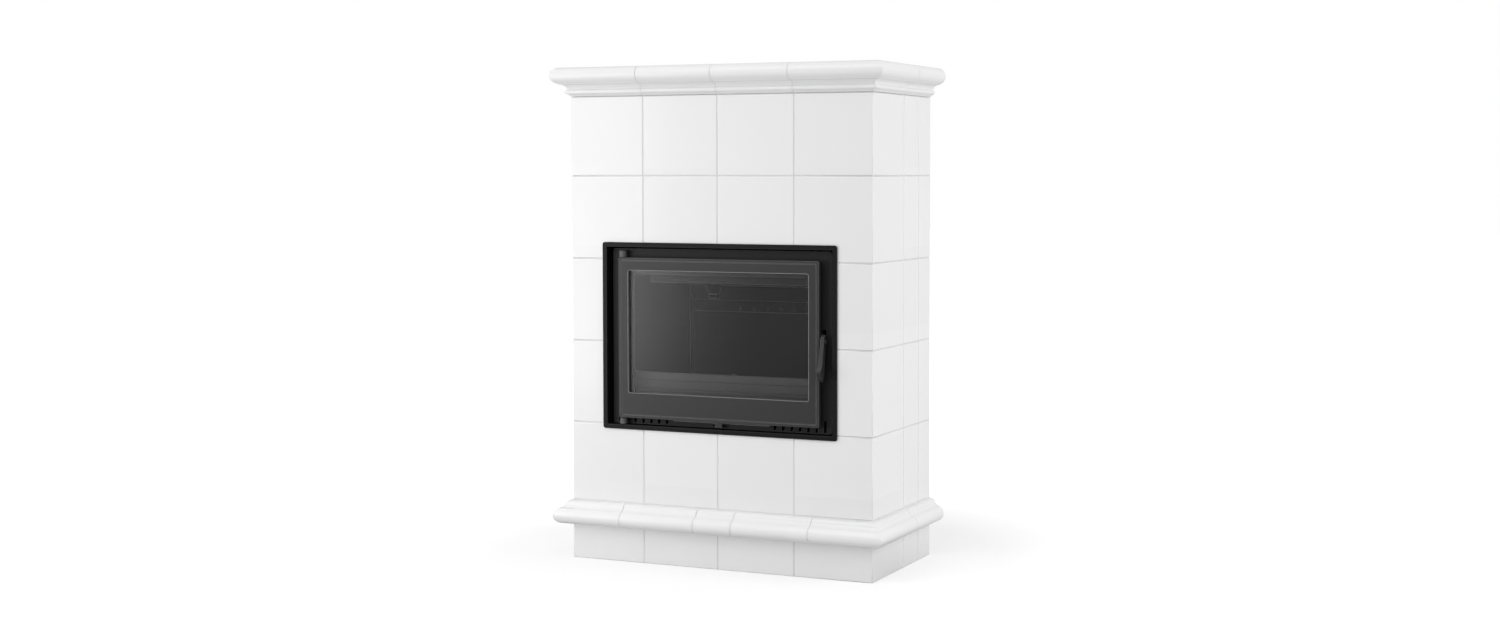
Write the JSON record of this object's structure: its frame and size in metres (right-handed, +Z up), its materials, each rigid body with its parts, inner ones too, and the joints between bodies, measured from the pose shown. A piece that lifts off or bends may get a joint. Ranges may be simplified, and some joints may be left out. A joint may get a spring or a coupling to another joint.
{
  "type": "tiled stove",
  "caption": "White glazed tiled stove with a plinth, torus base and cornice mouldings, and a cast iron fireplace insert behind a hinged glass door.",
  "frame": {"origin": "middle of the stove's outer box, on the floor", "axes": "+Z up, the glass door faces -Y, +X to the right seen from the front"},
  "size_m": [0.974, 0.468, 1.343],
  "materials": {
    "white_glaze": "gloss",
    "grout": "matt",
    "lining_board": "matt",
    "slab": "rough",
    "black_steel": "matt",
    "grey_steel": "matt",
    "fastener_steel": "satin",
    "bright_steel": "satin",
    "glass": "clear",
    "rope": "fibrous",
    "cast_iron": "satin"
  },
  "bodies": {
    "stove": {"base_moulding_corner_left": "white_glaze", "base_moulding_corner_right": "white_glaze", "base_moulding_front": "white_glaze", "base_moulding_side_left": "white_glaze", "base_moulding_side_right": "white_glaze", "base_slab": "slab", "blanking_disc": "black_steel", "corner_tiles_left": "white_glaze", "corner_tiles_right": "white_glaze", "cornice_corner_left": "white_glaze", "cornice_corner_right": "white_glaze", "cornice_front_left": "white_glaze", "cornice_front_right": "white_glaze", "cornice_side_left": "white_glaze", "cornice_side_right": "white_glaze", "firebox_body": "cast_iron", "flue_collar": "black_steel", "flue_spigot": "grey_steel", "front_board_lower": "lining_board", "front_board_upper": "lining_board", "front_plate": "cast_iron", "front_tiles_lower": "white_glaze", "front_tiles_upper": "white_glaze", "grate": "cast_iron", "hearth_base": "cast_iron", "hearth_plates": "cast_iron", "hinge_pins": "fastener_steel", "hinge_washer": "fastener_steel", "insert_stand": "grey_steel", "joint_grout": "grout", "keeper_pin": "fastener_steel", "log_guard": "cast_iron", "mouth_screws": "fastener_steel", "plinth_corner_tiles": "white_glaze", "plinth_front_tiles": "white_glaze", "plinth_side_tiles": "white_glaze", "rear_air_strip": "cast_iron", "rear_panel": "grey_steel", "rear_panel_screws": "fastener_steel", "rear_tiles_left": "white_glaze", "rear_tiles_right": "white_glaze", "side_boards": "lining_board", "side_tiles_left": "white_glaze", "side_tiles_right": "white_glaze", "smoke_baffle": "cast_iron", "smoke_dome": "cast_iron", "top_plate": "black_steel", "trim_frame": "black_steel"},
    "door": {"door_frame": "cast_iron", "door_glass": "glass", "glass_gasket": "rope", "door_seal": "rope", "glass_clips": "grey_steel", "clip_screws": "fastener_steel", "handle_pin": "fastener_steel"},
    "door_handle": {"handle_lever": "cast_iron", "latch_hook": "cast_iron"},
    "air_control": {"air_slider": "grey_steel"},
    "ash_tray": {"ash_drawer": "grey_steel", "drawer_bar": "bright_steel"}
  },
  "joints": [
    {"name": "door_hinge", "type": "hinge", "parent": "stove", "child": "door", "pos_m": [-0.287, -0.186, 0.61], "axis": [0, 0, -1], "range_deg": [0, 110]},
    {"name": "handle_pivot", "type": "hinge", "parent": "door", "child": "door_handle", "pos_m": [0.305, -0.186, 0.618], "axis": [-1, 0, 0], "range_deg": [-12, 12]},
    {"name": "air_slide", "type": "slide", "parent": "stove", "child": "air_control", "axis": [1, 0, 0], "range_m": [-0.011, 0.011]},
    {"name": "ash_tray_slide", "type": "slide", "parent": "stove", "child": "ash_tray", "axis": [0, -1, 0], "range_m": [0, 0.0035]}
  ]
}
